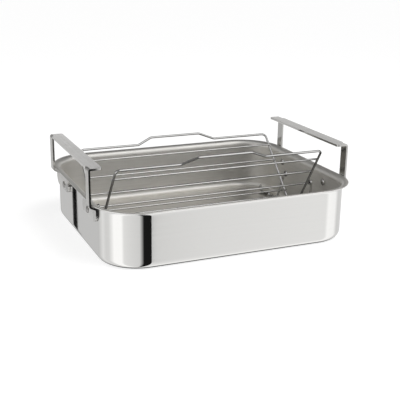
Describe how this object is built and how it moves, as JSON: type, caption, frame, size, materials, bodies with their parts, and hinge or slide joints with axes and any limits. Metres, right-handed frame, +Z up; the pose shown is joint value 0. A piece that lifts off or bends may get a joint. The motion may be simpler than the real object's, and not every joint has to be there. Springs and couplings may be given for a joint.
{
  "type": "roasting pan with rack",
  "caption": "Drawn steel roasting pan with riveted upright strip handles and a loose folding V rack of wire, whose wings are propped by bails standing in notched feet.",
  "frame": {"origin": "middle of the pan's flat base, on the surface that it stands on", "axes": "+X along the pan towards the right handle, +Y away from the viewer towards the far long wall, +Z up"},
  "size_m": [0.413, 0.34, 0.1394],
  "materials": {
    "pan_steel": "polished outside, satin inside",
    "handle_steel": "satin faces with bright sheared edges",
    "rivet_steel": "satin",
    "rack_wire": "bright plated wire"
  },
  "bodies": {
    "pan": {"pan_body": "pan_steel", "handle_right": "handle_steel", "handle_left": "handle_steel", "rivet_right_near": "rivet_steel", "rivet_right_far": "rivet_steel", "rivet_left_near": "rivet_steel", "rivet_left_far": "rivet_steel"},
    "rack_base": {"rack_foot_left": "rack_wire", "rack_foot_right": "rack_wire", "hinge_rod": "rack_wire"},
    "near_wing": {"near_wing_frame": "rack_wire", "near_cross_wire_1": "rack_wire", "near_cross_wire_2": "rack_wire", "near_cross_wire_3": "rack_wire", "near_cross_wire_4": "rack_wire"},
    "far_wing": {"far_wing_frame": "rack_wire", "far_cross_wire_1": "rack_wire", "far_cross_wire_2": "rack_wire", "far_cross_wire_3": "rack_wire", "far_cross_wire_4": "rack_wire"},
    "near_bail": {"near_bail": "rack_wire"},
    "far_bail": {"far_bail": "rack_wire"}
  },
  "joints": [
    {"name": "rack_lift", "type": "slide", "parent": "pan", "child": "rack_base", "axis": [0, 0, 1], "range_m": [0, 0.145]},
    {"name": "near_wing_hinge", "type": "hinge", "parent": "rack_base", "child": "near_wing", "pos_m": [0, -0.0165, 0.0088], "axis": [-1, 0, 0], "range_deg": [0, 28]},
    {"name": "far_wing_hinge", "type": "hinge", "parent": "rack_base", "child": "far_wing", "pos_m": [0, -0.0165, 0.0088], "axis": [1, 0, 0], "range_deg": [0, 37]},
    {"name": "near_bail_hinge", "type": "hinge", "parent": "near_wing", "child": "near_bail", "pos_m": [0, -0.05266, 0.06209], "axis": [1, 0, 0], "range_deg": [0, 26]},
    {"name": "far_bail_hinge", "type": "hinge", "parent": "far_wing", "child": "far_bail", "pos_m": [0, 0.02748, 0.05585], "axis": [1, 0, 0], "range_deg": [0, 100]}
  ]
}
